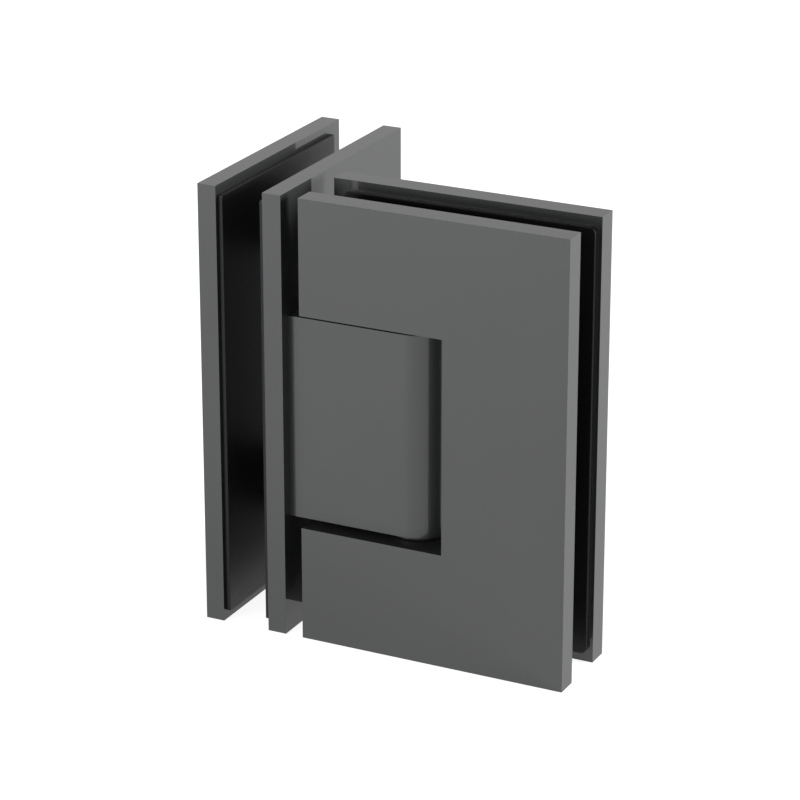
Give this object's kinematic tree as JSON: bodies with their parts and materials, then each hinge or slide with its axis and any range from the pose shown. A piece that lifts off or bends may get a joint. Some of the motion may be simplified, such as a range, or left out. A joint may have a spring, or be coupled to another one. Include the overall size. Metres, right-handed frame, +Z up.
{
  "type": "glass door hinge",
  "caption": "Right-angle shower door hinge in gunmetal: notched plates clamp the door glass and swing on a block that stands on the clamp of the fixed glass.",
  "frame": {"origin": "on the pivot axis, level with the lower edges of the four plates", "axes": "+X along the closed door from the pivot to its free edge, +Y along the fixed glass to the inside, +Z up the pivot axis"},
  "size_m": [0.0769, 0.0507, 0.09],
  "materials": {
    "gunmetal": "smooth satin gunmetal plating",
    "black_rubber": "smooth black gasket rubber",
    "dark_screw_steel": "dark plated screws",
    "ground_steel": "ground and hardened",
    "spring_wire": "drawn wire",
    "black_acetal": "turned black plastic",
    "clear_nylon": "natural moulded nylon"
  },
  "bodies": {
    "fixed_side": {"fixed_outer_plate": "gunmetal", "fixed_inner_plate": "gunmetal", "fixed_outer_gasket": "black_rubber", "fixed_inner_gasket": "black_rubber", "fixed_clamp_screws": "dark_screw_steel", "fixed_sleeves": "clear_nylon", "pivot_block": "gunmetal", "block_screws": "dark_screw_steel", "upper_bush": "black_acetal", "lower_bush": "black_acetal", "upper_spring": "spring_wire", "lower_spring": "spring_wire"},
    "door_side": {"pivot_pin": "ground_steel", "pin_lock_screws": "dark_screw_steel", "door_outer_plate": "gunmetal", "door_inner_plate": "gunmetal", "door_outer_gasket": "black_rubber", "door_inner_gasket": "black_rubber", "door_clamp_screws": "dark_screw_steel", "door_sleeves": "clear_nylon"},
    "upper_centring": {"upper_plunger": "ground_steel"},
    "lower_centring": {"lower_plunger": "ground_steel"}
  },
  "joints": [
    {"name": "door_swing", "type": "hinge", "parent": "fixed_side", "child": "door_side", "pos_m": [0, 0, 0.045], "axis": [0, 0, 1], "range_deg": [-90, 90]},
    {"name": "upper_plunger_travel", "type": "slide", "parent": "fixed_side", "child": "upper_centring", "axis": [1, 0, 0], "range_m": [0, 0.0005], "stiffness_N_per_m": 13000, "springref_m": 0.0005},
    {"name": "lower_plunger_travel", "type": "slide", "parent": "fixed_side", "child": "lower_centring", "axis": [1, 0, 0], "range_m": [0, 0.0005], "stiffness_N_per_m": 13000, "springref_m": 0.0005}
  ]
}
